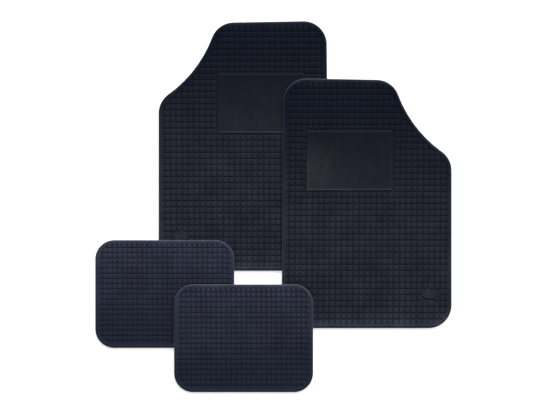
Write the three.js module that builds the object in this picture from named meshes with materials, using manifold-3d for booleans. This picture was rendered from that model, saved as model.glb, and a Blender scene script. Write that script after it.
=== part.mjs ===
// Floor mat set for a car: two front mats, each with a heel pad, and two rear mats, in moulded rubber.
// The mats lie on one floor as they are shown for sale, each lapping over the ones laid before it,
// and every mat above the first bends down over the edges of what lies under it.
//
// Millimetres, +Z up, +Y towards the front of the car. The origin is on the floor, under the middle
// of the whole set. Each mat's own corner of reference is its rear corner on the car's centre side.

import * as THREE from 'three';
import { mergeVertices } from 'three/addons/utils/BufferGeometryUtils.js';
import Module from 'manifold-3d';

const wasm = await Module();
wasm.setup();

// Section of the moulding, measured up from the tips of the nibs that stand on the floor.
const FIELD_HEIGHT = 5;
const RIM_HEIGHT = 5.8;
const RIM_WIDTH = 9;

// Outline of a front mat. The shoulder and the hollow wheel arch are on the door side.
const FRONT_WIDTH = 463.5;
const FRONT_LENGTH = 680.7;
const FRONT_CORNER_RADIUS = 63;
const SHOULDER_FROM_REAR = 430;
const SHOULDER_TURN = 54.4;
const ARCH_RADIUS = 338;
const ARCH_TURN = 33.7;
const CENTRE_SIDE_TILT = 0.53;

// Outline of a rear mat.
const REAR_WIDTH = 379;
const REAR_LENGTH = 294;
const REAR_CORNER_RADIUS = 52;

// Heel pad: a ribbed panel bonded into a shallow recess in the front mat.
const HEEL_WIDTH = 235;
const HEEL_LENGTH = 165;
const HEEL_FROM_CENTRE_SIDE = 185.5;
const HEEL_FROM_REAR = 457.5;
const HEEL_TOP = 5.6;
const HEEL_THICKNESS = 2.3;
const HEEL_BOND_GAP = 0.3;
const HEEL_SLOT = 1.5;

// How the mats are laid: the middle of each, measured from the middle of the front left mat.
const FRONT_RIGHT_PLACE = [335.2, -156.4];
const REAR_LEFT_PLACE = [-215.2, -403.7];
const REAR_RIGHT_PLACE = [-0.2, -524.4];

// How a mat bends over a lower one: the air between them, how far inside the lower mat's edge it
// settles from the rim down to the level of the heel pad, and how far outside the edge it comes
// down to the floor.
const LAY_GAP = 0.5;
const SETTLE_LENGTH = 80;
const FALL_LENGTH = 120;

// Fineness of the faceted shapes, how far the cutting shapes run past what they cut, and how near
// two points are that count as one.
const BEND_STEP = 22;
const ARC_STEP = 7.5;
const SPARE = 6;
const SAME_POINT = 0.01;

// side is +1 where the door side is +X, -1 where it is -X. layer counts up from the floor.
const frontLeft = frontMat([0, 0], -1, 0);
const frontRight = frontMat(FRONT_RIGHT_PLACE, 1, 1);
const rearLeft = rearMat(REAR_LEFT_PLACE, 1);
const rearRight = rearMat(REAR_RIGHT_PLACE, 2);
const LAYERS = [[frontLeft], [frontRight, rearLeft]];

function frontMat([x, y], side, layer) {
  const mat = { x, y, side, layer, width: FRONT_WIDTH, length: FRONT_LENGTH };
  mat.corner = FRONT_CORNER_RADIUS;
  mat.arcs = frontArcs();
  return mat;
}

function rearMat([x, y], layer) {
  const mat = { x, y, side: 1, layer, width: REAR_WIDTH, length: REAR_LENGTH };
  mat.corner = REAR_CORNER_RADIUS;
  mat.arcs = rearArcs();
  return mat;
}

// ---- Outlines: each is a ring of arcs, anticlockwise, joined by straight edges ----

function turned(degrees, reach) {
  const angle = THREE.MathUtils.degToRad(degrees);
  return new THREE.Vector2(Math.cos(angle), Math.sin(angle)).multiplyScalar(reach);
}

function arc(centre, radius, from, to) {
  return { centre, radius, from, to };
}

function frontArcs() {
  const r = FRONT_CORNER_RADIUS;
  const tilt = CENTRE_SIDE_TILT;
  const rearInner = new THREE.Vector2(r, r);
  const rearOuter = new THREE.Vector2(FRONT_WIDTH - r, r);
  const shoulder = new THREE.Vector2(FRONT_WIDTH - r, SHOULDER_FROM_REAR);
  const arch = shoulder.clone().add(turned(SHOULDER_TURN, r + ARCH_RADIUS));
  const archEnd = SHOULDER_TURN - ARCH_TURN;
  const frontOuter = arch.clone().sub(turned(archEnd, r + ARCH_RADIUS));
  const climb = FRONT_LENGTH - 2 * r;
  const frontInner = new THREE.Vector2(r + climb * Math.tan(THREE.MathUtils.degToRad(tilt)), r + climb);
  const frontEdge = THREE.MathUtils.radToDeg(frontOuter.clone().sub(frontInner).angle()) - 360;
  return [
    arc(rearInner, r, 180 - tilt, 270),
    arc(rearOuter, r, 270, 360),
    arc(shoulder, r, 0, SHOULDER_TURN),
    arc(arch, -ARCH_RADIUS, SHOULDER_TURN, archEnd),
    arc(frontOuter, r, archEnd, 90 + frontEdge),
    arc(frontInner, r, 90 + frontEdge, 180 - tilt),
  ];
}

function rearArcs() {
  const r = REAR_CORNER_RADIUS;
  return [
    arc(new THREE.Vector2(r, r), r, 180, 270),
    arc(new THREE.Vector2(REAR_WIDTH - r, r), r, 270, 360),
    arc(new THREE.Vector2(REAR_WIDTH - r, REAR_LENGTH - r), r, 0, 90),
    arc(new THREE.Vector2(r, REAR_LENGTH - r), r, 90, 180),
  ];
}

// A hollow arc has a negative radius, so that taking the inset off it moves it inwards as well.
function outline(mat, inset) {
  const points = [];
  for (const piece of mat.arcs) {
    const steps = Math.ceil(Math.abs(piece.to - piece.from) / ARC_STEP);
    for (let i = 0; i <= steps; i += 1) {
      const angle = THREE.MathUtils.lerp(piece.from, piece.to, i / steps);
      const point = toPlace(mat, piece.centre.clone().add(turned(angle, piece.radius - inset)));
      const repeated = points.length > 0 && point.distanceTo(points.at(-1)) < SAME_POINT;
      if (!repeated) points.push(point);
    }
  }
  return points;
}

function toPlace(mat, point) {
  const x = mat.x + mat.side * (point.x - mat.width / 2);
  return new THREE.Vector2(x, mat.y + point.y - mat.length / 2);
}

// ---- Bending over the mats underneath ----

function fade(distance, length) {
  return 1 - THREE.MathUtils.smoothstep(distance, 0, length);
}

// Distance from a mat's edge, taken as a rounded rectangle: positive outside, negative inside.
function edgeDistance(mat, x, y) {
  const dx = Math.abs(x - mat.x) - mat.width / 2 + mat.corner;
  const dy = Math.abs(y - mat.y) - mat.length / 2 + mat.corner;
  return Math.hypot(Math.max(dx, 0), Math.max(dy, 0)) + Math.min(Math.max(dx, dy), 0) - mat.corner;
}

function riseOver(mat, x, y) {
  const distance = edgeDistance(mat, x, y);
  const overRim = RIM_HEIGHT + LAY_GAP;
  const overField = HEEL_TOP + LAY_GAP;
  if (distance > 0) return overRim * fade(distance, FALL_LENGTH);
  return overField + (overRim - overField) * fade(-distance, SETTLE_LENGTH);
}

// Mats side by side in one layer share their rise smoothly, and the layers add up.
function underside(mat, x, y) {
  const overRim = RIM_HEIGHT + LAY_GAP;
  let height = 0;
  for (const layer of LAYERS.slice(0, mat.layer)) {
    const drop = layer.reduce((left, lower) => left * (1 - riseOver(lower, x, y) / overRim), 1);
    height += overRim * (1 - drop);
  }
  return height;
}

// ---- Solids ----

function toSolid(geometry) {
  geometry.deleteAttribute('normal');
  geometry.deleteAttribute('uv');
  const merged = mergeVertices(geometry);
  const vertProperties = new Float32Array(merged.getAttribute('position').array);
  const triVerts = new Uint32Array(merged.index.array);
  return new wasm.Manifold(new wasm.Mesh({ numProp: 3, vertProperties, triVerts }));
}

function toGeometry(solid) {
  const mesh = solid.getMesh();
  const geometry = new THREE.BufferGeometry();
  geometry.setAttribute('position', new THREE.BufferAttribute(mesh.vertProperties, 3));
  geometry.setIndex(new THREE.BufferAttribute(mesh.triVerts, 1));
  geometry.computeVertexNormals();
  return geometry;
}

// A slab wider than the mat, from bottom to top above the mat's underside, bent as the mat is.
function bentSlab(mat, bottom, top) {
  const width = mat.width + 2 * SPARE;
  const length = mat.length + 2 * SPARE;
  const columns = mat.layer === 0 ? 1 : Math.ceil(width / BEND_STEP);
  const rows = mat.layer === 0 ? 1 : Math.ceil(length / BEND_STEP);
  const slab = new THREE.BoxGeometry(width, length, top - bottom, columns, rows, 1);
  slab.translate(mat.x, mat.y, (bottom + top) / 2);
  const position = slab.getAttribute('position');
  for (let i = 0; i < position.count; i += 1) {
    position.setZ(i, position.getZ(i) + underside(mat, position.getX(i), position.getY(i)));
  }
  return toSolid(slab);
}

// An upright prism of a flat outline, taller than the whole pile.
function prism(points) {
  const depth = 3 * (RIM_HEIGHT + LAY_GAP) + 4 * SPARE;
  const upright = new THREE.ExtrudeGeometry(new THREE.Shape(points), { depth, bevelEnabled: false });
  upright.translate(0, 0, -SPARE);
  return toSolid(upright);
}

function heelRectangle(mat, grow) {
  const left = HEEL_FROM_CENTRE_SIDE - HEEL_WIDTH / 2 - grow;
  const right = HEEL_FROM_CENTRE_SIDE + HEEL_WIDTH / 2 + grow;
  const rear = HEEL_FROM_REAR - HEEL_LENGTH / 2 - grow;
  const front = HEEL_FROM_REAR + HEEL_LENGTH / 2 + grow;
  const corners = [[left, rear], [right, rear], [right, front], [left, front]];
  return corners.map(([x, y]) => toPlace(mat, new THREE.Vector2(x, y)));
}

function mouldedMat(mat) {
  const sheet = bentSlab(mat, 0, RIM_HEIGHT).intersect(prism(outline(mat, 0)));
  const dish = bentSlab(mat, FIELD_HEIGHT, RIM_HEIGHT + SPARE);
  return sheet.subtract(dish.intersect(prism(outline(mat, RIM_WIDTH))));
}

function mouldedFrontMat(mat) {
  const recessFloor = HEEL_TOP - HEEL_THICKNESS - HEEL_BOND_GAP;
  const recess = bentSlab(mat, recessFloor, RIM_HEIGHT + SPARE);
  return mouldedMat(mat).subtract(recess.intersect(prism(heelRectangle(mat, HEEL_SLOT))));
}

function heelPad(mat) {
  return bentSlab(mat, HEEL_TOP - HEEL_THICKNESS, HEEL_TOP).intersect(prism(heelRectangle(mat, 0)));
}

// ---- Materials ----

function matRubber() {
  return new THREE.MeshStandardMaterial({ color: 0x20232b, roughness: 0.8, metalness: 0 });
}

function heelRubber() {
  return new THREE.MeshStandardMaterial({ color: 0x272a32, roughness: 0.7, metalness: 0 });
}

// ---- The set ----

function piece(name, solid, material) {
  const mesh = new THREE.Mesh(toGeometry(solid), material);
  mesh.name = name;
  return mesh;
}

function matSet() {
  const set = new THREE.Group();
  set.add(piece('front_left_mat', mouldedFrontMat(frontLeft), matRubber()));
  set.add(piece('front_left_heel_pad', heelPad(frontLeft), heelRubber()));
  set.add(piece('front_right_mat', mouldedFrontMat(frontRight), matRubber()));
  set.add(piece('front_right_heel_pad', heelPad(frontRight), heelRubber()));
  set.add(piece('rear_left_mat', mouldedMat(rearLeft), matRubber()));
  set.add(piece('rear_right_mat', mouldedMat(rearRight), matRubber()));
  const middle = new THREE.Box3().setFromObject(set).getCenter(new THREE.Vector3());
  set.position.set(-middle.x, -middle.y, 0);
  return set;
}

export default matSet();
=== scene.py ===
"""Floor mat set: two front mats with heel pads and two rear mats, in black moulded rubber.

Every moulding is built flat, in millimetres, from its own rear corner on the car's centre side. It is
then put in its place in the set, bent over the mats that lie under it, and written in metres.
"""

import math

import bpy
import numpy as np
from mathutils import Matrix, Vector
from mathutils.geometry import delaunay_2d_cdt


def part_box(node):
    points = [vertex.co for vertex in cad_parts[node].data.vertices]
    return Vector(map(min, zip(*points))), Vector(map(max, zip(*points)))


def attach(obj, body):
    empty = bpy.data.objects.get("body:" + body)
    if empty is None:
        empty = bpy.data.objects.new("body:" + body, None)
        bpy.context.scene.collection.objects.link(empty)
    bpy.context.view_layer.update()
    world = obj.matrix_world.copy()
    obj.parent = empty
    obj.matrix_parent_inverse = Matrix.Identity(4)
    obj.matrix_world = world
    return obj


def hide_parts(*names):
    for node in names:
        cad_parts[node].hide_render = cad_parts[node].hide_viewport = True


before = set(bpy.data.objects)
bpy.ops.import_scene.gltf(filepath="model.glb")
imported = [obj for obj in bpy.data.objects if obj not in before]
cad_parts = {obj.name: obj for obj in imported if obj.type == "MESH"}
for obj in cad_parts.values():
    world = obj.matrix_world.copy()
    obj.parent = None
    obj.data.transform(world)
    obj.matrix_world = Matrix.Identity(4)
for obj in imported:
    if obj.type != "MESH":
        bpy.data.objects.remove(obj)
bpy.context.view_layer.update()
MM = 0.001

# ---- Driving dimensions, in millimetres; heights are above the mat's own underside ----

# Section of the moulding.
WEB_BOTTOM = 1.3
WEB_TOP = 2.8
PAD_TOP = 5.0
RIM_TOP = 5.6
HEEL_BOTTOM = 3.3
HEEL_TOP = 5.6

# Section of the rim, from the band inside it to the web underneath: (inset, height).
RIM_SECTION = [
    (8.7, PAD_TOP),
    (8.2, 5.12),
    (7.6, 5.35),
    (7.0, 5.53),
    (6.4, RIM_TOP),
    (5.6, 5.57),
    (4.6, 5.45),
    (3.6, 5.27),
    (2.7, 5.05),
    (1.9, 4.75),
    (1.2, 4.35),
    (0.6, 3.8),
    (0.2, 3.1),
    (0.0, 2.3),
    (0.0, 0.9),
    (0.6, 0.25),
    (1.8, 0.0),
    (6.8, 0.0),
    (8.2, WEB_BOTTOM),
]

# Outline of the front mats.
FRONT_CORNER = 63.0
SHOULDER_FROM_REAR = 430.0
SHOULDER_TURN = 54.4
ARCH_RADIUS = 338.0
ARCH_TURN = 33.7
CENTRE_SIDE_TILT = 0.53

# Outline of the rear mats.
REAR_CORNER = 52.0

# Groove grids: number of grooves across and along, where the first and last ones run, how much the
# grooves that run fore and aft lean, as the front mats' centre side does, and the grooves' widths.
FRONT_GRID = dict(
    columns=28, rows=39, left=17.7, right=17.3, rear=24.4, front=27.7, lean=0.39,
    across_width=3.1, along_width=3.4,
)
REAR_GRID = dict(
    columns=26, rows=19, left=18.3, right=19.5, rear=18.3, front=20.7, lean=0.0,
    across_width=2.5, along_width=3.3,
)

# Inset where the grooves end, the pads' shape, and the smallest sizes that are kept.
GROOVE_END = 9.9
PAD_CORNER = 2.4
PAD_DRAFT = 0.35
PAD_ROUND = 0.3
PAD_DOME = 0.3
SMALLEST_PAD = 3.4
SMALLEST_TOOTH = 2.0
SMALLEST_NECK = 4.0
SMALLEST_STEP = 1.5
CLOSEST_CORNERS = 0.25
CORNER_SHARE = 0.4

# Heel pad: place of its middle, and the slot round it.
HEEL_FROM_CENTRE_SIDE = 185.5
HEEL_FROM_REAR = 457.5
HEEL_SLOT = 2.3

# Heel pad: section of its borders, from the edge up to the lip and down to the plain face.
# Each edge is (inset, highest the pad may be) and each lip is (inset, height past its crest).
HEEL_PLAIN = 5.0
REAR_EDGE = [(0.0, 4.3), (0.4, 4.6), (1.0, 4.7), (1.6, 5.3), (2.1, HEEL_TOP)]
REAR_LIP = [(3.1, HEEL_TOP), (3.9, 5.3), (4.8, HEEL_PLAIN)]
SIDE_EDGE = [(0.0, 4.3), (0.4, 4.6), (1.6, 4.7), (2.5, 5.1), (3.0, HEEL_TOP)]
SIDE_LIP = [(4.2, 5.3), (4.8, 5.15), (5.4, HEEL_PLAIN)]
FRONT_EDGE = [(0.0, 4.5), (0.6, 5.0), (1.2, HEEL_TOP)]
FRONT_LIP = [(6.0, 5.3), (8.0, HEEL_PLAIN)]
REAR_CREST = 2.6
SIDE_CREST = 3.6
FRONT_CREST = 5.0

# Heel pad: how the painted highlight along its lips fades, as distance that is added to that from the
# crest where the painted highlight is fainter. A pair is that distance at the lip's brighter end, and
# what it grows by up to the other end. Of the distance from the front lip's crest, only a share counts.
REAR_LIP_DIMMING = (0.0, 0.5)
CENTRE_LIP_DIMMING = (0.2, 1.4)
DOOR_LIP_DIMMING = 1.0
FRONT_LIP_DIMMING = 1.2
FRONT_LIP_SHARE = 0.1

# Heel pad: the ribbed field inside its plain borders, and one rib (share of the pitch, rise).
HEEL_SIDE_BORDER = 6.5
HEEL_REAR_BORDER = 8.5
HEEL_FRONT_BORDER = 10.5
HEEL_RIB_FOOT = 4.6
HEEL_RIB_TOP = 5.15
RIB_PITCH = 5.9
RIB_END = 0.5
HEEL_ROWS = 16
RIB_SECTION = [(0.0, 0.0), (0.12, 0.0), (0.3, 0.85), (0.42, 1.0), (0.7, 1.0), (0.82, 0.85)]

# Plain oval boss near the rear corner on the door side of the front mats.
BOSS_FROM_DOOR_SIDE = 60.0
BOSS_FROM_REAR = 94.0
BOSS_HALF = (22.0, 13.0)
BOSS_SLOT = 1.6
BOSS_CLEAR = 2.0

# Section of the boss, from the groove floor over its raised ring to its middle: (inset, height).
BOSS_SECTION = [
    (0.0, WEB_TOP),
    (0.3, 4.9),
    (0.7, 5.3),
    (1.3, 5.4),
    (1.9, 5.2),
    (2.4, 4.7),
    (3.2, 4.6),
    (6.0, 4.85),
    (9.0, 4.95),
]

# Nibs underneath.
NIB_PITCH = 12.5
NIB_RADIUS = 2.2
NIB_TIP_RADIUS = 1.1
NIB_INSET = 15.0

# How a mat bends over a lower one, as the CAD solids do.
CAD_RIM = 5.8
LAY_GAP = 0.5
SETTLE_LENGTH = 80.0
FALL_LENGTH = 120.0

# Fineness of the meshes: steps along the outlines, points round an oval, how near two points are that
# count as one, the turn that counts as a corner, and how closely and how far on a crossing is searched.
ARC_STEP = 5.0
EDGE_STEP = 12.0
OVAL_POINTS = 40
NIB_POINTS = 8
SAME_POINT = 0.01
SHARP_TURN = math.radians(20)
HALVINGS = 14
OVERSHOOT = 3.0

# Inset given to points that belong to no edge.
FAR_INSIDE = 50.0

# What the triangulation is asked for: triangles inside the outline only, and its tolerance.
INSIDE_ONLY = 1
TOLERANCE = 1e-5


# ---- Looks ----

# Rubber: its shine, the share of the painted sheen in a groove, and how much rougher a groove is.
ROUGHNESS = 0.36
IOR = 1.5
SPECULAR_LEVEL = 0.12
GROOVE_SHEEN = 0.6
GROOVE_ROUGHNESS = 1.8

# Heights in millimetres: where a mat's groove colour, darker as painted shade, starts to turn into its
# face colour, where a heel pad's has turned, and how far an edge is lifted off the floor when its
# painted highlight starts and when it is full.
FACE_FROM = 4.3
HEEL_FACE = 5.3
HIGHLIGHT_LIFT = (3.0, 6.0)

# Patterns in the rubber: noise (scale, detail, roughness), and how far each one spreads round its mean.
NOISE_RANGE = (0.3, 0.7)
CLOUD_NOISE = (16, 4, 0.65)
# The mottle breaks up the painted sheen and the painted edge highlight.
MOTTLE_NOISE = (260, 5, 0.7)
SPECK_NOISE = (900, 2, 0.5)
ROUGHNESS_NOISE = (60, 4, 0.5)
PATCH_NOISE = (60, 5, 0.7)
GRAIN_NOISE = (1400, 2, 0.5)
CLOUD_SPREAD = 0.32
TONE_SPREAD = 0.07
MOTTLE_SPREAD = 0.25
SPECK_SPREAD = 0.12
ROUGHNESS_SPREAD = 0.03
PATCH_SPREAD = 0.4
GRAIN_STRENGTH = 0.25
GRAIN_DEPTH = 0.0002

# Paler patch on the driver's heel pad, in metres from the rear centre corner of the pad's box.
PATCH_MIDDLE = (0.015, 0.055, 0)
PATCH_RADIUS = 0.1
PATCH_TINT = (0.0135, 0.0135, 0.0145)

# Studio, in metres: the floor, the pale walls and dark ceiling, which meet between two heights of the
# line of sight (0 level, 1 straight up), and the camera, whose lens and sensor are in millimetres.
FLOOR_HALF = 40.0
FLOOR_DROP = 0.0004
FLOOR_GREY = 0.9
FLOOR_ROUGHNESS = 0.9
FLOOR_GLOW = 0.5
WALL_TOP = 0.08
WALL_GLOW = 0.9
CEILING_FROM = 0.3
CEILING_GLOW = 0.07
LAMP_DISTANCE = 2.0
PICTURE_WIDTH = 1.4995
PICTURE_MIDDLE = (0.0043, 0.0005)
PILE_LEVEL = 0.006
LENS = 200.0
SENSOR = 36.0
FAR_CLIP = 100.0

# Lamps: (name, azimuth, elevation, strength, spread).
LAMPS = [
    ("key_far", 0, 30, 2.5, 30),
    ("key_far_left", -55, 30, 0.4, 40),
    ("key_far_right", 55, 30, 1.65, 40),
    ("fill_near", 180, 38, 0.5, 90),
]


# ---- The four mats, placed by the frame ----


def mat_facts(node, side, layer, corner, grid):
    low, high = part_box(node)
    middle = (low + high) / 2 / MM
    size = (high - low) / MM
    return dict(
        name=node, side=side, layer=layer, corner=corner, grid=grid,
        x=middle.x, y=middle.y, width=size.x, length=size.y,
    )


MATS = {
    "front_left": mat_facts("front_left_mat", -1, 0, FRONT_CORNER, FRONT_GRID),
    "front_right": mat_facts("front_right_mat", 1, 1, FRONT_CORNER, FRONT_GRID),
    "rear_left": mat_facts("rear_left_mat", 1, 1, REAR_CORNER, REAR_GRID),
    "rear_right": mat_facts("rear_right_mat", 1, 2, REAR_CORNER, REAR_GRID),
}

# The mats that others lie on, from the floor up. A mat bends over the layers under its own.
LAYERS = [[MATS["front_left"]], [MATS["front_right"], MATS["rear_left"]]]

HEEL_LOW, HEEL_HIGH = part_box("front_right_heel_pad")
HEEL_HALF = np.array(HEEL_HIGH - HEEL_LOW)[:2] / MM / 2


# ---- Bending ----


def fade(distance, length):
    """From 1 down to 0 over the length, smoothly."""
    t = np.clip(distance / length, 0, 1)
    return 1 - t * t * (3 - 2 * t)


def edge_distance(mat, x, y):
    """Distance from a mat taken as a rounded rectangle, below zero inside it."""
    dx = np.abs(x - mat["x"]) - mat["width"] / 2 + mat["corner"]
    dy = np.abs(y - mat["y"]) - mat["length"] / 2 + mat["corner"]
    outside = np.hypot(np.maximum(dx, 0), np.maximum(dy, 0))
    return outside + np.minimum(np.maximum(dx, dy), 0) - mat["corner"]


def rise_over(mat, x, y):
    """Height over a lower mat: most at its rim, a little less on its field, and none far outside."""
    distance = edge_distance(mat, x, y)
    over_rim = CAD_RIM + LAY_GAP
    over_field = HEEL_TOP + LAY_GAP
    inside = over_field + (over_rim - over_field) * fade(-distance, SETTLE_LENGTH)
    return np.where(distance > 0, over_rim * fade(distance, FALL_LENGTH), inside)


def underside(mat, x, y):
    """Height of a mat's underside: the lower mats' rises, shared in a layer and added over layers."""
    over_rim = CAD_RIM + LAY_GAP
    height = np.zeros_like(x)
    for layer in LAYERS[: mat["layer"]]:
        left = np.ones_like(x)
        for lower in layer:
            left *= 1 - rise_over(lower, x, y) / over_rim
        height += over_rim * (1 - left)
    return height


# ---- A closed surface put together from rings ----


class Surface:
    """Points in a mat's own flat frame, their insets, and faces, anticlockwise seen from outside."""

    def __init__(self):
        self.points = []
        self.insets = []
        self.faces = []

    def ring(self, flat, height, inset=FAR_INSIDE):
        """Adds points at one height and one inset from the edge, and returns their numbers."""
        start = len(self.points)
        self.points.extend((float(x), float(y), float(height)) for x, y in flat)
        self.insets.extend([inset] * len(flat))
        return list(range(start, len(self.points)))

    def bridge(self, lower, upper):
        """Wall of quads from a ring to the next one above or inside it."""
        for i in range(len(lower)):
            j = (i + 1) % len(lower)
            self.faces.append((lower[i], lower[j], upper[j], upper[i]))

    def cap(self, ring, up=True):
        self.faces.append(tuple(ring) if up else tuple(reversed(ring)))

    def peak(self, ring, flat, height):
        """Closes a ring with triangles up to a point."""
        top = self.ring([flat], height)[0]
        for i in range(len(ring)):
            self.faces.append((ring[i], ring[(i + 1) % len(ring)], top))

    def fill(self, outer, holes, loose, up):
        """Triangles between an outer ring and the rings in it, through the loose points as well."""
        numbers = [*outer, *(i for hole in holes for i in hole), *loose]
        flat = [Vector(self.points[i][:2]) for i in numbers]
        loops, start = [], 0
        for loop in [outer, *holes]:
            loops.append(list(range(start, start + len(loop))))
            start += len(loop)
        _, _, triangles, sources, _, owners = delaunay_2d_cdt(flat, [], loops, INSIDE_ONLY, TOLERANCE)
        back = [numbers[source[0]] for source in sources]
        for triangle, owner in zip(triangles, owners):
            if list(owner) != [0]:
                continue
            a, b, c = (self.points[back[i]] for i in triangle)
            turn = (b[0] - a[0]) * (c[1] - a[1]) - (b[1] - a[1]) * (c[0] - a[0])
            corners = [back[i] for i in triangle]
            self.faces.append(tuple(corners if (turn > 0) == up else reversed(corners)))


# ---- Flat shapes ----


def direction(degrees):
    angle = math.radians(degrees)
    return np.array([math.cos(angle), math.sin(angle)])


def front_arcs(mat):
    """The outline as arcs (centre, radius, from, to); a hollow arc has a negative radius."""
    width, length, r = mat["width"], mat["length"], FRONT_CORNER
    tilt = CENTRE_SIDE_TILT
    shoulder = np.array([width - r, SHOULDER_FROM_REAR])
    arch = shoulder + direction(SHOULDER_TURN) * (r + ARCH_RADIUS)
    arch_end = SHOULDER_TURN - ARCH_TURN
    front_outer = arch - direction(arch_end) * (r + ARCH_RADIUS)
    climb = length - 2 * r
    front_inner = np.array([r + climb * math.tan(math.radians(tilt)), r + climb])
    run = front_outer - front_inner
    front_edge = math.degrees(math.atan2(run[1], run[0]))
    return [
        (np.array([r, r]), r, 180 - tilt, 270),
        (np.array([width - r, r]), r, 270, 360),
        (shoulder, r, 0, SHOULDER_TURN),
        (arch, -ARCH_RADIUS, SHOULDER_TURN, arch_end),
        (front_outer, r, arch_end, 90 + front_edge),
        (front_inner, r, 90 + front_edge, 180 - tilt),
    ]


def rear_arcs(mat):
    width, length, r = mat["width"], mat["length"], REAR_CORNER
    return [
        (np.array([r, r]), r, 180, 270),
        (np.array([width - r, r]), r, 270, 360),
        (np.array([width - r, length - r]), r, 0, 90),
        (np.array([r, length - r]), r, 90, 180),
    ]


def outline(mat):
    """Points of the outline, anticlockwise, and the outward direction at each."""
    arcs = front_arcs(mat) if mat["corner"] == FRONT_CORNER else rear_arcs(mat)
    points, normals = [], []
    for centre, radius, start, end in arcs:
        steps = max(1, math.ceil(abs(end - start) / ARC_STEP))
        for i in range(steps + 1):
            out = direction(start + (end - start) * i / steps)
            add_stretch(points, normals, centre + out * radius, out)
    first_point, first_normal = points[0], normals[0]
    add_stretch(points, normals, first_point, first_normal)
    return np.array(points[:-1]), np.array(normals[:-1])


def add_stretch(points, normals, point, normal):
    """Adds a point, and before it the points of a long straight stretch that leads to it."""
    if points:
        run = point - points[-1]
        reach = np.hypot(*run)
        if reach < SAME_POINT:
            return
        pieces = math.ceil(reach / EDGE_STEP)
        last = points[-1]
        for i in range(1, pieces):
            points.append(last + run * i / pieces)
            normals.append(normal)
    points.append(point)
    normals.append(normal)


def cut(polygon, point, outward):
    """The part of a convex polygon on the inner side of a line through point."""
    kept = []
    sides = (polygon - point) @ outward
    for i in range(len(polygon)):
        j = (i + 1) % len(polygon)
        if sides[i] <= 0:
            kept.append(polygon[i])
        if (sides[i] < 0) != (sides[j] < 0) and sides[i] != sides[j]:
            share = sides[i] / (sides[i] - sides[j])
            kept.append(polygon[i] + (polygon[j] - polygon[i]) * share)
    return np.array(kept).reshape(-1, 2)


def without_repeats(polygon):
    kept = []
    for point in polygon:
        if not kept or np.hypot(*(point - kept[-1])) > CLOSEST_CORNERS:
            kept.append(point)
    while len(kept) > 1 and np.hypot(*(kept[0] - kept[-1])) <= CLOSEST_CORNERS:
        kept.pop()
    return np.array(kept).reshape(-1, 2)


def corner_turns(polygon):
    back = np.roll(polygon, 1, axis=0) - polygon
    ahead = np.roll(polygon, -1, axis=0) - polygon
    lengths = np.hypot(*back.T) * np.hypot(*ahead.T)
    return math.pi - np.arccos(np.clip((back * ahead).sum(axis=1) / lengths, -1, 1))


def rounded(polygon, radius, sharp=None):
    """The polygon with each sharp corner replaced by three points of a curve."""
    turns = corner_turns(polygon)
    if sharp is None:
        sharp = turns > SHARP_TURN
    points = []
    for i, corner in enumerate(polygon):
        if not sharp[i]:
            points.append(corner)
            continue
        back = polygon[i - 1] - corner
        ahead = polygon[(i + 1) % len(polygon)] - corner
        reach_back, reach_ahead = np.hypot(*back), np.hypot(*ahead)
        most = CORNER_SHARE * min(reach_back, reach_ahead)
        length = min(radius * math.tan(turns[i] / 2), most)
        first = corner + back / reach_back * length
        last = corner + ahead / reach_ahead * length
        points += [first, (first + 2 * corner + last) / 4, last]
    return np.array(points)


def inward_normals(polygon):
    """The direction inwards from each side of an anticlockwise polygon."""
    ahead = np.roll(polygon, -1, axis=0) - polygon
    ahead /= np.hypot(ahead[:, 0], ahead[:, 1])[:, None]
    return np.stack([-ahead[:, 1], ahead[:, 0]], axis=1)


def shrunk(polygon, inset):
    """A convex anticlockwise polygon with every side moved in by inset."""
    inward = inward_normals(polygon)
    before = np.roll(inward, 1, axis=0)
    both = inward + before
    return polygon + both * (inset * 2 / (both * both).sum(axis=1))[:, None]


def thinnest(polygon):
    """Width of a convex polygon between the closest pair of parallel lines along its sides."""
    reach = (polygon[None, :, :] - polygon[:, None, :]) @ inward_normals(polygon)[:, :, None]
    return reach[..., 0].max(axis=1).min()


# ---- The pattern of raised pads ----


def groove_lines(mat):
    grid = mat["grid"]
    across = np.linspace(grid["left"], mat["width"] - grid["right"], grid["columns"])
    along = np.linspace(grid["rear"], mat["length"] - grid["front"], grid["rows"])
    return across, along


def pad_spans(lines, total, groove):
    """Start and end of every pad between the grooves, out past the mat's edges."""
    starts = np.concatenate([[-GROOVE_END], lines + groove / 2])
    ends = np.concatenate([lines - groove / 2, [total + GROOVE_END]])
    return list(zip(starts, ends))


def pad_shapes(mat, edge):
    """The free pads' base outlines, and the teeth: the pads that run into the rim's flat band."""
    across, along = groove_lines(mat)
    slope = math.tan(math.radians(mat["grid"]["lean"]))
    free, teeth = [], []
    for x0, x1 in pad_spans(across, mat["width"], mat["grid"]["along_width"]):
        for y0, y1 in pad_spans(along, mat["length"], mat["grid"]["across_width"]):
            shift = slope * (y0 + y1) / 2
            pad = np.array([(x0, y0), (x1, y0), (x1, y1), (x0, y1)]) + (shift, 0)
            depths = edge.depths(pad) - GROOVE_END
            if depths.max() < SMALLEST_TOOTH:
                continue
            tooth = edge.tooth(pad, depths > 0)
            if tooth is not None:
                teeth.append(tooth)
                continue
            pad = edge.trimmed(pad, GROOVE_END + SMALLEST_TOOTH)
            if mat["corner"] == FRONT_CORNER:
                pad = cut_by_boss(cut_by_heel(pad), mat)
            if len(pad) > 2 and thinnest(pad) > SMALLEST_PAD:
                free.append(without_repeats(rounded(without_repeats(pad), PAD_CORNER)))
    return free, teeth


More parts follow.
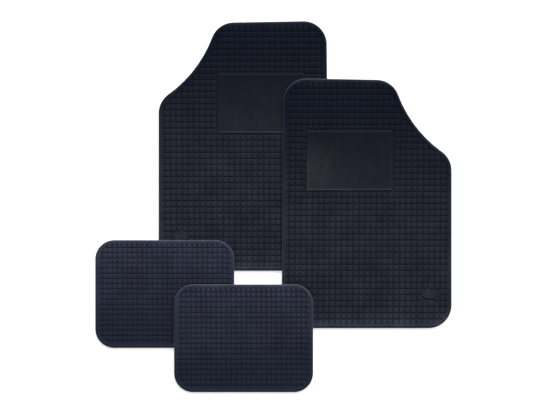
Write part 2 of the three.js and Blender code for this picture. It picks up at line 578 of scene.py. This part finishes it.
class Edge:
    """A mat's outline, and the line inside it where the grooves end."""

    def __init__(self, mat):
        self.points, self.normals = outline(mat)
        self.tangents = np.stack([-self.normals[:, 1], self.normals[:, 0]], axis=1)
        steps = np.hypot(*(np.roll(self.points, -1, axis=0) - self.points).T)
        self.places = np.concatenate([[0], np.cumsum(steps[:-1])])
        self.total = steps.sum()

    def inset(self, distance):
        return self.points - self.normals * distance

    def nearest(self, point):
        offsets = self.points - point
        return np.argmin((offsets * offsets).sum(axis=1))

    def depth(self, point):
        """How far a point lies inside the outline."""
        i = self.nearest(point)
        return (self.points[i] - point) @ self.normals[i]

    def depths(self, flat):
        return np.array([self.depth(point) for point in flat])

    def place(self, point):
        """How far along the outline a point lies."""
        i = self.nearest(point)
        return (self.places[i] + (point - self.points[i]) @ self.tangents[i]) % self.total

    def trimmed(self, pad, distance):
        """The part of a pad that is at least the distance inside the outline."""
        for corner in pad:
            i = self.nearest(corner)
            pad = cut(pad, self.points[i] - self.normals[i] * distance, self.normals[i])
            if len(pad) < 3:
                return pad
        return pad

    def crossing(self, start, towards, distance):
        """Where the line from start, which lies deeper, comes up to the distance from the outline."""
        low, high = 0.0, 1 + OVERSHOOT / np.hypot(*(towards - start))
        for _ in range(HALVINGS):
            middle = (low + high) / 2
            deep = self.depth(start + (towards - start) * middle) > distance
            low, high = (middle, high) if deep else (low, middle)
        return start + (towards - start) * low

    def tooth(self, pad, inside):
        """A pad that crosses the grooves' end line, as its inner corners in clockwise order."""
        if inside.all():
            return None
        start = next(i for i in range(4) if inside[i] and not inside[(i + 1) % 4])
        corners = [start - i for i in range(inside.sum())]
        entry = self.crossing(pad[start], pad[(start + 1) % 4], GROOVE_END)
        leave = self.crossing(pad[corners[-1]], pad[corners[-1] - 1], GROOVE_END)
        if np.hypot(*(leave - entry)) < SMALLEST_NECK:
            return None
        return dict(
            pad=pad, corners=corners, entry=self.place(entry), leave=self.place(leave),
            near_entry=np.hypot(*(entry - pad[start])) < SMALLEST_STEP,
            near_leave=np.hypot(*(leave - pad[corners[-1]])) < SMALLEST_STEP,
        )

    def tooth_line(self, tooth, draft):
        """The line round a tooth that has been made smaller all round by the draft."""
        pad = shrunk(tooth["pad"], draft)
        corners = tooth["corners"]
        line = [pad[i] for i in corners]
        if not tooth["near_entry"]:
            line.insert(0, self.crossing(line[0], pad[(corners[0] + 1) % 4], GROOVE_END - draft))
        if not tooth["near_leave"]:
            line.append(self.crossing(line[-1], pad[corners[-1] - 1], GROOVE_END - draft))
        return line

    def between_teeth(self, teeth):
        """Numbers of the outline's points that lie well clear of every tooth."""
        clear = []
        for i, place in enumerate(self.places):
            gaps = []
            for tooth in teeth:
                width = (tooth["leave"] - tooth["entry"]) % self.total
                past = (place - tooth["entry"] + SMALLEST_NECK) % self.total
                gaps.append(past - width - 2 * SMALLEST_NECK)
            if min(gaps) > 0:
                clear.append(i)
        return clear

    def groove_end(self, teeth, drafts):
        """The closed line where the grooves end, round every tooth, once for each draft."""
        stops = [(tooth["entry"], tooth) for tooth in teeth]
        stops += [(self.places[i], i) for i in self.between_teeth(teeth)]
        stops.sort(key=lambda stop: stop[0])
        lines, sharp = [], None
        for draft in drafts:
            line = []
            for _, stop in stops:
                if isinstance(stop, dict):
                    line += self.tooth_line(stop, draft)
                else:
                    line.append(self.points[stop] - self.normals[stop] * (GROOVE_END - draft))
            line = np.array(line)
            if sharp is None:
                sharp = corner_turns(line) > SHARP_TURN
            lines.append(rounded(line, PAD_CORNER, sharp))
        return lines


def heel_rectangle(grow):
    middle = np.array([HEEL_FROM_CENTRE_SIDE, HEEL_FROM_REAR])
    return middle - HEEL_HALF - grow, middle + HEEL_HALF + grow


def cut_by_heel(pad):
    """Leaves what lies outside the heel pad's slot, on the side where the pad's middle is."""
    low, high = heel_rectangle(HEEL_SLOT)
    if not len(pad) or (pad.max(axis=0) < low).any() or (pad.min(axis=0) > high).any():
        return pad
    middle = pad.mean(axis=0)
    gaps = [low[0] - middle[0], middle[0] - high[0], low[1] - middle[1], middle[1] - high[1]]
    if max(gaps) <= 0:
        return np.zeros((0, 2))
    side = int(np.argmax(gaps))
    outward = np.array([(1, 0), (-1, 0), (0, 1), (0, -1)][side], float)
    return cut(pad, low if side in (0, 2) else high, outward)


def boss_middle(mat):
    return np.array([mat["width"] - BOSS_FROM_DOOR_SIDE, BOSS_FROM_REAR])


def cut_by_boss(pad, mat):
    """Cuts a pad by the line that touches the boss's slot nearest to the pad's middle."""
    half = np.array(BOSS_HALF) + BOSS_SLOT
    if not len(pad):
        return pad
    offset = (pad.mean(axis=0) - boss_middle(mat)) / half
    reach = np.hypot(*offset)
    if reach > BOSS_CLEAR:
        return pad
    if reach < 1:
        return np.zeros((0, 2))
    touch = boss_middle(mat) + offset / reach * half
    outward = offset / half
    return cut(pad, touch, -outward / np.hypot(*outward))


# ---- The mouldings ----


def add_pad(surface, base):
    """A raised pad with drafted walls and a slightly domed top. Returns its ring on the groove floor.

    Halfway in from its crown, the dome has three quarters of its height.
    """
    middle = base.mean(axis=0)
    foot = surface.ring(base, WEB_TOP)
    shoulder = surface.ring(shrunk(base, PAD_DRAFT), PAD_TOP - PAD_DOME - PAD_ROUND)
    rim = shrunk(base, PAD_DRAFT + PAD_ROUND)
    crown = surface.ring(rim, PAD_TOP - PAD_DOME)
    halfway = surface.ring((rim + middle) / 2, PAD_TOP - PAD_DOME / 4)
    surface.bridge(foot, shoulder)
    surface.bridge(shoulder, crown)
    surface.bridge(crown, halfway)
    surface.peak(halfway, middle, PAD_TOP)
    return foot


def oval(middle, half, count=OVAL_POINTS):
    turns = np.arange(count) * 2 * math.pi / count
    return middle + np.stack([half[0] * np.cos(turns), half[1] * np.sin(turns)], axis=1)


def add_boss(surface, mat):
    """A plain oval boss: a raised ring round a slightly domed, empty middle."""
    rings = []
    for inset, height in BOSS_SECTION:
        half = (BOSS_HALF[0] - inset, BOSS_HALF[1] - inset)
        rings.append(surface.ring(oval(boss_middle(mat), half), height))
    for lower, upper in zip(rings, rings[1:]):
        surface.bridge(lower, upper)
    surface.cap(rings[-1])
    return rings[0]


def add_rim(surface, edge, teeth):
    """The rim, and the teeth that join it. Returns the rings on the groove floor and underneath."""
    rings = [surface.ring(edge.inset(inset), height, inset) for inset, height in RIM_SECTION]
    for inner, outer in zip(rings, rings[1:]):
        surface.bridge(outer, inner)
    drafts = (0, PAD_DRAFT, PAD_DRAFT + PAD_ROUND)
    heights = (WEB_TOP, PAD_TOP - PAD_ROUND, PAD_TOP)
    lines = edge.groove_end(teeth, drafts)
    foot, shoulder, crown = (surface.ring(line, height) for line, height in zip(lines, heights))
    surface.bridge(shoulder, foot)
    surface.bridge(crown, shoulder)
    surface.fill(rings[0], [crown], [], up=True)
    return foot, rings[-1]


def heel_floor_points(mat):
    """Points inside the heel pad's place, so that the floor under it bends with the mat."""
    low, high = heel_rectangle(-HEEL_SLOT)
    across, along = groove_lines(mat)
    xs = across[(across > low[0]) & (across < high[0])]
    ys = along[(along > low[1]) & (along < high[1])]
    return [(x, y) for x in xs for y in ys]


def nib_places(mat, edge):
    """Middles of the nibs, in staggered rows."""
    rows = np.arange(NIB_INSET, mat["length"] - NIB_INSET, NIB_PITCH * math.sqrt(3) / 2)
    flat = []
    for i, y in enumerate(rows):
        shift = NIB_PITCH / 2 * (i % 2)
        flat += [(x, y) for x in np.arange(NIB_INSET + shift, mat["width"] - NIB_INSET, NIB_PITCH)]
    return [middle for middle in flat if edge.depth(middle) > NIB_INSET]


def add_nib(surface, middle):
    """A small blunt cone that points down. Returns its ring on the underside."""
    foot = surface.ring(oval(middle, (NIB_RADIUS, NIB_RADIUS), NIB_POINTS), WEB_BOTTOM)
    tip = surface.ring(oval(middle, (NIB_TIP_RADIUS, NIB_TIP_RADIUS), NIB_POINTS), 0)
    surface.bridge(tip, foot)
    surface.cap(tip, up=False)
    return foot


def moulding(mat):
    """One mat in its own flat frame."""
    surface = Surface()
    edge = Edge(mat)
    free, teeth = pad_shapes(mat, edge)
    floor_edge, underside_edge = add_rim(surface, edge, teeth)
    feet = [add_pad(surface, base) for base in free]
    loose = []
    if mat["corner"] == FRONT_CORNER:
        feet.append(add_boss(surface, mat))
        loose = surface.ring(heel_floor_points(mat), WEB_TOP)
    surface.fill(floor_edge, feet, loose, up=True)
    nibs = [add_nib(surface, middle) for middle in nib_places(mat, edge)]
    surface.fill(underside_edge, nibs, [], up=False)
    return surface


def rib_section(low, high):
    """Places across the ribs, and the height of the surface at each."""
    count = round((high - low) / RIB_PITCH)
    pitch = (high - low) / count
    section = [(i + share, rise) for i in range(count) for share, rise in RIB_SECTION]
    section.append((count, 0.0))
    places = [low + share * pitch for share, _ in section]
    heights = [HEEL_RIB_FOOT + (HEEL_RIB_TOP - HEEL_RIB_FOOT) * rise for _, rise in section]
    return places, heights


def stations(edge, lip, border):
    """Insets of the grid lines in one border of the heel pad."""
    return [inset for inset, _ in edge + lip] + [border - RIB_END]


def heel_height(from_side, from_rear, from_front):
    """Height of the heel pad's borders: their edges limit it and their lips raise it."""
    sides = [
        (from_side, SIDE_EDGE, SIDE_LIP),
        (from_rear, REAR_EDGE, REAR_LIP),
        (from_front, FRONT_EDGE, FRONT_LIP),
    ]
    limit = min(np.interp(inset, *zip(*edge)) for inset, edge, _ in sides)
    return min(limit, max(np.interp(inset, *zip(*lip)) for inset, _, lip in sides))


def past_crest(inset, crest):
    """Distance from a lip's crest, with the outer side counted half."""
    return max((crest - inset) / 2, inset - crest)


def from_highlit_lip(across, along):
    """Distance from the lip's crest, more where the lip's painted highlight is fainter: away from the
    rear centre corner.

    The place is given as shares of the pad's width and length, from that corner.
    """
    width, length = HEEL_HALF * 2
    rear = past_crest(along * length, REAR_CREST)
    centre = past_crest(across * width, SIDE_CREST)
    door = past_crest((1 - across) * width, SIDE_CREST)
    front = past_crest((1 - along) * length, FRONT_CREST)
    return min(
        rear + REAR_LIP_DIMMING[0] + REAR_LIP_DIMMING[1] * across,
        centre + CENTRE_LIP_DIMMING[0] + CENTRE_LIP_DIMMING[1] * along,
        door + DOOR_LIP_DIMMING,
        front * FRONT_LIP_SHARE + FRONT_LIP_DIMMING,
    )


def heel_moulding():
    """The ribbed panel: a lip all round, a plain border, and ribs that run fore and aft."""
    surface = Surface()
    (left, rear), (right, front) = heel_rectangle(0)
    side_lines = np.array(stations(SIDE_EDGE, SIDE_LIP, HEEL_SIDE_BORDER))
    rear_lines = np.array(stations(REAR_EDGE, REAR_LIP, HEEL_REAR_BORDER))
    front_lines = np.array(stations(FRONT_EDGE, FRONT_LIP, HEEL_FRONT_BORDER))
    places, heights = rib_section(left + HEEL_SIDE_BORDER, right - HEEL_SIDE_BORDER)
    ribbed = np.linspace(rear + HEEL_REAR_BORDER, front - HEEL_FRONT_BORDER, HEEL_ROWS)
    xs = np.concatenate([left + side_lines, places, right - side_lines[::-1]])
    ys = np.concatenate([rear + rear_lines, ribbed, front - front_lines[::-1]])
    rows = []
    for y in ys:
        row = [heel_height(min(x - left, right - x), y - rear, front - y) for x in xs]
        if ribbed[0] <= y <= ribbed[-1]:
            row[len(side_lines) : len(side_lines) + len(places)] = heights
        along = (y - rear) / (front - rear)
        insets = [from_highlit_lip((x - left) / (right - left), along) for x in xs]
        rows.append([surface.ring([(x, y)], *facts)[0] for x, *facts in zip(xs, row, insets)])
    add_grid(surface, rows, up=True)
    bottom = [surface.ring([surface.points[i][:2] for i in row], HEEL_BOTTOM) for row in rows]
    add_grid(surface, bottom, up=False)
    surface.bridge(border(bottom), border(rows))
    return surface


def add_grid(surface, rows, up):
    for near, far in zip(rows, rows[1:]):
        for i in range(len(near) - 1):
            face = (near[i], near[i + 1], far[i + 1], far[i])
            surface.faces.append(face if up else tuple(reversed(face)))


def border(rows):
    """The numbers round a grid, anticlockwise."""
    right = [row[-1] for row in rows[1:-1]]
    left = [row[0] for row in rows[1:-1]]
    return [*rows[0], *right, *reversed(rows[-1]), *reversed(left)]


# ---- Into Blender ----


def place(surface, mat, name):
    """Puts a flat surface in its mat's place, bends it and makes the mesh object.

    For the materials, each point keeps its distance from the mat's rear edge, its height above the
    mat's underside, its inset and how far the mat is lifted there.
    """
    flat = np.array(surface.points)
    x = mat["x"] + mat["side"] * (flat[:, 0] - mat["width"] / 2)
    y = mat["y"] + flat[:, 1] - mat["length"] / 2
    lifted = underside(mat, x, y)
    z = flat[:, 2] + lifted
    faces = surface.faces if mat["side"] > 0 else [tuple(reversed(face)) for face in surface.faces]
    mesh = bpy.data.meshes.new(name)
    mesh.from_pydata((np.stack([x, y, z], axis=1) * MM).tolist(), [], faces)
    facts = dict(along=flat[:, 1], height=flat[:, 2], inset=surface.insets, lifted=lifted)
    for fact, values in facts.items():
        stored = mesh.attributes.new(fact, "FLOAT", "POINT")
        stored.data.foreach_set("value", np.array(values, dtype=np.float32))
    mesh.shade_smooth()
    piece = bpy.data.objects.new(name, mesh)
    bpy.context.scene.collection.objects.link(piece)
    weighted = piece.modifiers.new("face_weighted_normals", "WEIGHTED_NORMAL")
    weighted.weight = 100
    weighted.keep_sharp = True
    return piece


# ---- Materials ----


def new_material(name):
    material = bpy.data.materials.new(name)
    material.use_nodes = True
    return material, material.node_tree.nodes, material.node_tree.links


def noise(nodes, links, scale, detail, roughness):
    place_node = nodes.new("ShaderNodeTexCoord")
    node = nodes.new("ShaderNodeTexNoise")
    node.inputs["Scale"].default_value = scale
    node.inputs["Detail"].default_value = detail
    node.inputs["Roughness"].default_value = roughness
    links.new(place_node.outputs["Object"], node.inputs["Vector"])
    return node.outputs["Fac"]


def remap(nodes, links, value, low, high, out_low, out_high):
    node = nodes.new("ShaderNodeMapRange")
    node.inputs["From Min"].default_value = low
    node.inputs["From Max"].default_value = high
    node.inputs["To Min"].default_value = out_low
    node.inputs["To Max"].default_value = out_high
    links.new(value, node.inputs["Value"])
    return node.outputs["Result"]


def varied(nodes, links, value, spread, mean=1.0):
    """A noise turned into a factor that spreads evenly round its mean."""
    return remap(nodes, links, value, *NOISE_RANGE, mean - spread, mean + spread)


def mix_colours(nodes, links, share, dark, light):
    node = nodes.new("ShaderNodeMix")
    node.data_type = "RGBA"
    node.inputs["A"].default_value = (*dark, 1)
    node.inputs["B"].default_value = (*light, 1)
    links.new(share, node.inputs["Factor"])
    return node.outputs["Result"]


def multiply(nodes, links, colour, value):
    node = nodes.new("ShaderNodeVectorMath")
    node.operation = "SCALE"
    links.new(colour, node.inputs[0])
    links.new(value, node.inputs["Scale"])
    return node.outputs["Vector"]


def bump(nodes, links, value, strength, distance):
    node = nodes.new("ShaderNodeBump")
    node.inputs["Strength"].default_value = strength
    node.inputs["Distance"].default_value = distance
    links.new(value, node.inputs["Height"])
    return node.outputs["Normal"]


def attribute(nodes, name):
    node = nodes.new("ShaderNodeAttribute")
    node.attribute_name = name
    return node.outputs["Fac"]


def product(nodes, links, *values):
    total = values[0]
    for value in values[1:]:
        node = nodes.new("ShaderNodeMath")
        node.operation = "MULTIPLY"
        links.new(total, node.inputs[0])
        links.new(value, node.inputs[1])
        total = node.outputs["Value"]
    return total


def add_light(nodes, links, colour, amount, tint):
    """The colour with a tint added to it, as strongly as the amount says."""
    node = nodes.new("ShaderNodeVectorMath")
    node.operation = "MULTIPLY_ADD"
    node.inputs[1].default_value = tint
    links.new(amount, node.inputs[0])
    links.new(colour, node.inputs[2])
    return node.outputs["Vector"]


def rubber(name, groove, face, face_span, painted_sheens, edge_highlight, highlight_span, highlight_by_lift=(0, 1)):
    """Moulded rubber: darker in the grooves as painted shade, with a painted sheen on its raised faces
    and a painted highlight along its edges.

    The groove's colour turns into the face's over face_span of the height. Each painted sheen is (from,
    to, tint): it grows over that stretch of the distance from the rear edge, and a tint below zero
    takes a sheen away again. The painted highlight fades over its span of the inset, and its strength
    is given for a mat that lies on the floor and for one that is lifted.
    """
    material, nodes, links = new_material(name)
    shader = nodes["Principled BSDF"]
    raised = remap(nodes, links, attribute(nodes, "height"), *face_span, 0, 1)
    # Painted shade: the groove colour is darker than the face colour, so grooves and the feet of pads
    # and ribs come out darker.
    colour = mix_colours(nodes, links, raised, groove, face)
    clouds = noise(nodes, links, *CLOUD_NOISE)
    cloud = varied(nodes, links, clouds, CLOUD_SPREAD)
    tone = varied(nodes, links, clouds, TONE_SPREAD)
    mottle = varied(nodes, links, noise(nodes, links, *MOTTLE_NOISE), MOTTLE_SPREAD)
    # The painted sheen reaches the grooves only in part.
    caught = remap(nodes, links, raised, 0, 1, GROOVE_SHEEN, 1)
    uneven = product(nodes, links, caught, cloud, mottle)
    # Painted sheen: pale tints that grow along the mat, as listed for each rubber.
    for start, end, tint in painted_sheens:
        grown = remap(nodes, links, attribute(nodes, "along"), start, end, 0, 1)
        colour = add_light(nodes, links, colour, product(nodes, links, grown, uneven), tint)
    # Painted highlight: a pale tint along the outer edge, stronger where the edge is lifted over a
    # lower mat, and along the heel pads' lips.
    highlighted = remap(nodes, links, attribute(nodes, "inset"), *highlight_span, 1, 0)
    local_share = remap(nodes, links, attribute(nodes, "lifted"), *HIGHLIGHT_LIFT, *highlight_by_lift)
    colour = add_light(nodes, links, colour, product(nodes, links, highlighted, local_share, mottle), edge_highlight)
    specks = varied(nodes, links, noise(nodes, links, *SPECK_NOISE), SPECK_SPREAD)
    colour = multiply(nodes, links, colour, product(nodes, links, specks, tone))
    links.new(colour, shader.inputs["Base Color"])
    patches = noise(nodes, links, *ROUGHNESS_NOISE)
    roughness = varied(nodes, links, patches, ROUGHNESS_SPREAD, ROUGHNESS)
    rougher = remap(nodes, links, raised, 0, 1, GROOVE_ROUGHNESS, 1)
    links.new(product(nodes, links, roughness, rougher), shader.inputs["Roughness"])
    grain = bump(nodes, links, noise(nodes, links, *GRAIN_NOISE), GRAIN_STRENGTH, GRAIN_DEPTH)
    links.new(grain, shader.inputs["Normal"])
    shader.inputs["IOR"].default_value = IOR
    shader.inputs["Specular IOR Level"].default_value = SPECULAR_LEVEL
    return material


def add_heel_patch(material):
    """A paler patch near the rear centre corner of the driver's heel pad, added to the colour of the
    heel pads' rubber.
    """
    nodes, links = material.node_tree.nodes, material.node_tree.links
    shader = nodes["Principled BSDF"]
    colour = shader.inputs["Base Color"].links[0].from_socket
    place_node = nodes.new("ShaderNodeTexCoord")
    distance = nodes.new("ShaderNodeVectorMath")
    distance.operation = "DISTANCE"
    distance.inputs[1].default_value = HEEL_LOW + Vector(PATCH_MIDDLE)
    links.new(place_node.outputs["Object"], distance.inputs[0])
    amount = remap(nodes, links, distance.outputs["Value"], PATCH_RADIUS, 0, 0, 1)
    local_share = varied(nodes, links, noise(nodes, links, *PATCH_NOISE), PATCH_SPREAD)
    patch_share = product(nodes, links, amount, local_share)
    links.new(add_light(nodes, links, colour, patch_share, PATCH_TINT), shader.inputs["Base Color"])


def floor_paint():
    material, nodes, _ = new_material("pale_floor")
    shader = nodes["Principled BSDF"]
    shader.inputs["Base Color"].default_value = (FLOOR_GREY, FLOOR_GREY, FLOOR_GREY, 1)
    shader.inputs["Roughness"].default_value = FLOOR_ROUGHNESS
    shader.inputs["Specular IOR Level"].default_value = 0.0
    shader.inputs["Emission Color"].default_value = (1, 1, 1, 1)
    shader.inputs["Emission Strength"].default_value = FLOOR_GLOW
    return material


# Front mats: groove colour darker than face as painted shade, the tints along the mat are painted
# sheen, and the edge tint is a painted highlight.
FRONT_RUBBER = rubber(
    "front_mat_rubber", groove=(0.0040, 0.0060, 0.0122), face=(0.0047, 0.0088, 0.0200),
    face_span=(FACE_FROM, PAD_TOP),
    painted_sheens=[
        (595, 288, (0.0156, 0.0164, 0.0197)),
        (60, 6, (0.0140, 0.0148, 0.0205)),
        (8.5, 6.2, (-0.0140, -0.0148, -0.0205)),
        (654, 682, (0.0100, 0.0094, 0.0094)),
    ],
    edge_highlight=(0.075, 0.075, 0.08), highlight_span=(0.5, 1.8),
)
# Rear mats: the same painted shade in the grooves, painted sheen along the mat and painted highlight
# along the edge.
REAR_RUBBER = rubber(
    "rear_mat_rubber", groove=(0.0129, 0.0164, 0.0296), face=(0.0159, 0.0209, 0.0394),
    face_span=(FACE_FROM, PAD_TOP),
    painted_sheens=[
        (70, 158, (0.0092, 0.0098, 0.0138)),
        (200, 272, (0.0108, 0.0117, 0.0175)),
    ],
    edge_highlight=(0.080, 0.080, 0.088), highlight_span=(0.4, 1.6),
)
# Heel pads: the same painted shade between the ribs, painted sheen along the pad and painted highlight
# along the lips.
HEEL_RUBBER = rubber(
    "heel_pad_rubber", groove=(0.0038, 0.0058, 0.0118), face=(0.0055, 0.0083, 0.0165),
    face_span=(HEEL_RIB_FOOT, HEEL_FACE),
    painted_sheens=[(540, 360, (0.0130, 0.0137, 0.0175))],
    edge_highlight=(0.030, 0.030, 0.033), highlight_span=(0.5, 1.6), highlight_by_lift=(1, 1),
)
add_heel_patch(HEEL_RUBBER)


# ---- The pieces ----


def add_mat(body, material):
    mat = MATS[body]
    piece = place(moulding(mat), mat, body + "_moulding")
    piece.data.materials.append(material)
    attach(piece, body)
    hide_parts(mat["name"])


def add_heel_pad(body):
    piece = place(heel_moulding(), MATS[body], body + "_ribbed_heel_pad")
    piece.data.materials.append(HEEL_RUBBER)
    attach(piece, body)
    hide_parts(body + "_heel_pad")


for body in ("front_left", "front_right"):
    add_mat(body, FRONT_RUBBER)
    add_heel_pad(body)
for body in ("rear_left", "rear_right"):
    add_mat(body, REAR_RUBBER)


# ---- Stage, light and camera ----


def add_floor():
    half = FLOOR_HALF
    mesh = bpy.data.meshes.new("floor")
    corners = [(-half, -half, 0), (half, -half, 0), (half, half, 0), (-half, half, 0)]
    mesh.from_pydata(corners, [], [(0, 1, 2, 3)])
    floor = bpy.data.objects.new("floor", mesh)
    floor.location.z = -FLOOR_DROP
    mesh.materials.append(floor_paint())
    bpy.context.scene.collection.objects.link(floor)


def aim(thing, target):
    thing.rotation_mode = "QUATERNION"
    thing.rotation_quaternion = (Vector(target) - thing.location).to_track_quat("-Z", "Y")


def add_sun(name, azimuth, elevation, strength, spread):
    """A soft light from far away; azimuth is measured from +Y, clockwise seen from above."""
    light = bpy.data.lights.new(name, "SUN")
    light.energy = strength
    light.angle = math.radians(spread)
    lamp = bpy.data.objects.new(name, light)
    bpy.context.scene.collection.objects.link(lamp)
    a, e = math.radians(azimuth), math.radians(elevation)
    towards = Vector((math.sin(a) * math.cos(e), math.cos(a) * math.cos(e), math.sin(e)))
    lamp.location = towards * LAMP_DISTANCE
    aim(lamp, (0, 0, 0))


def add_world():
    """A dark ceiling and pale walls."""
    world = bpy.data.worlds.new("studio")
    world.use_nodes = True
    nodes, links = world.node_tree.nodes, world.node_tree.links
    direction_node = nodes.new("ShaderNodeTexCoord")
    parts = nodes.new("ShaderNodeSeparateXYZ")
    links.new(direction_node.outputs["Generated"], parts.inputs["Vector"])
    up = parts.outputs["Z"]
    brightness = remap(nodes, links, up, WALL_TOP, CEILING_FROM, WALL_GLOW, CEILING_GLOW)
    links.new(brightness, nodes["Background"].inputs["Strength"])
    nodes["Background"].inputs["Color"].default_value = (1, 1, 1, 1)
    bpy.context.scene.world = world


def add_camera():
    """Straight down from far above, with +Y up in the picture."""
    data = bpy.data.cameras.new("camera")
    data.lens = LENS
    data.sensor_width = SENSOR
    camera = bpy.data.objects.new("camera", data)
    bpy.context.scene.collection.objects.link(camera)
    distance = PICTURE_WIDTH * LENS / SENSOR
    camera.location = (*PICTURE_MIDDLE, PILE_LEVEL + distance)
    data.clip_end = FAR_CLIP
    bpy.context.scene.camera = camera


add_floor()
add_world()
for lamp in LAMPS:
    add_sun(*lamp)
add_camera()
bpy.context.scene.view_settings.view_transform = "Standard"
